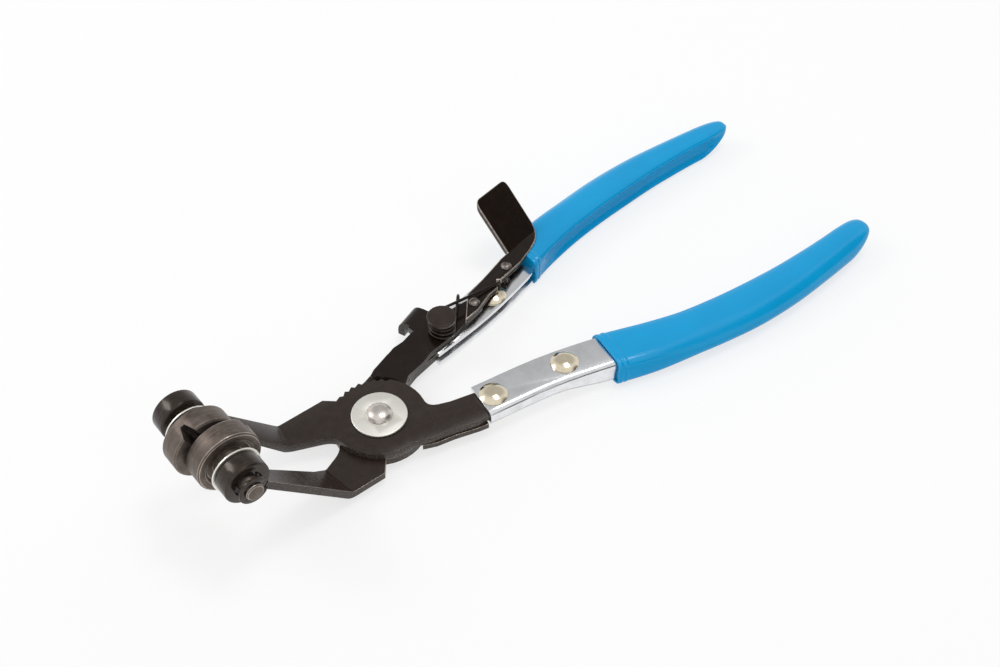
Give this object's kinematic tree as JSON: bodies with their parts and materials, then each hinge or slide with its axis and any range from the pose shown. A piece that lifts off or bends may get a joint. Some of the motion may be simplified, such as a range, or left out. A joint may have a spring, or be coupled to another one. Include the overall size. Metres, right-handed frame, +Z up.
{
  "type": "hose clamp pliers",
  "caption": "Long plier with crossing levers, grooved swivel jaws on raised arms, a ratchet hub with sprung pawl and thumb release, channel handles and dipped grips",
  "frame": {"origin": "on the pivot axis, at the height of the surface that the tool lies on: the middle of the pivot rivet's flat foot", "axes": "+X from the pivot towards the grips, +Y towards the ratchet side, +Z up, with the jaws raised and the thumb tab on top"},
  "size_m": [0.2233, 0.0811, 0.0415],
  "materials": {
    "blacked_plate": "blackened satin",
    "blacked_lever": "blackened satin",
    "turned_black": "glossy black",
    "gunmetal": "turned, satin",
    "pale_zinc": "pale plated",
    "bright_rivet": "bright",
    "brassy_rivet": "bright, slightly yellow plated",
    "chrome": "polished",
    "blue_vinyl": "glossy dipped vinyl",
    "spring_steel": "oiled"
  },
  "bodies": {
    "lower_lever": {"lever_lower": "blacked_plate", "pivot_rivet": "bright_rivet", "pivot_washer_lower": "pale_zinc", "pivot_washer_upper": "pale_zinc", "handle_channel_left": "chrome", "grip_left": "blue_vinyl", "handle_rivet_left_rear": "brassy_rivet", "pawl_pin": "blacked_lever", "jaw_collar_right": "turned_black", "thrust_washer_right": "pale_zinc"},
    "upper_lever": {"lever_upper": "blacked_plate", "stop_plate": "blacked_plate", "handle_channel_right": "chrome", "grip_right": "blue_vinyl", "handle_rivet_right_front": "brassy_rivet", "handle_rivet_right_rear": "brassy_rivet", "jaw_collar_left": "turned_black", "thrust_washer_left": "pale_zinc"},
    "jaw_left": {"swivel_jaw_left": "gunmetal", "e_clip_left": "turned_black"},
    "jaw_right": {"swivel_jaw_right": "gunmetal", "e_clip_right": "turned_black"},
    "pawl_unit": {"pawl": "blacked_plate", "thumb_lever": "blacked_lever", "thumb_lever_rivet": "bright_rivet", "thumb_lever_stud": "bright_rivet", "pawl_spring": "spring_steel"}
  },
  "joints": [
    {"name": "main_pivot", "type": "hinge", "parent": "lower_lever", "child": "upper_lever", "pos_m": [0, 0, 0.005], "axis": [0, 0, -1], "range_deg": [0, 40]},
    {"name": "jaw_left_swivel", "type": "hinge", "parent": "upper_lever", "child": "jaw_left", "pos_m": [-0.0501, 0.01438, 0.0324], "axis": [0, 1, 0], "continuous": true},
    {"name": "jaw_right_swivel", "type": "hinge", "parent": "lower_lever", "child": "jaw_right", "pos_m": [-0.0477, -0.01202, 0.0318], "axis": [0, 1, 0], "continuous": true},
    {"name": "pawl_pivot", "type": "hinge", "parent": "lower_lever", "child": "pawl_unit", "pos_m": [0.0321, 0.0137, 0.008], "axis": [0, 0, 1], "range_deg": [-3, 4.2]}
  ]
}
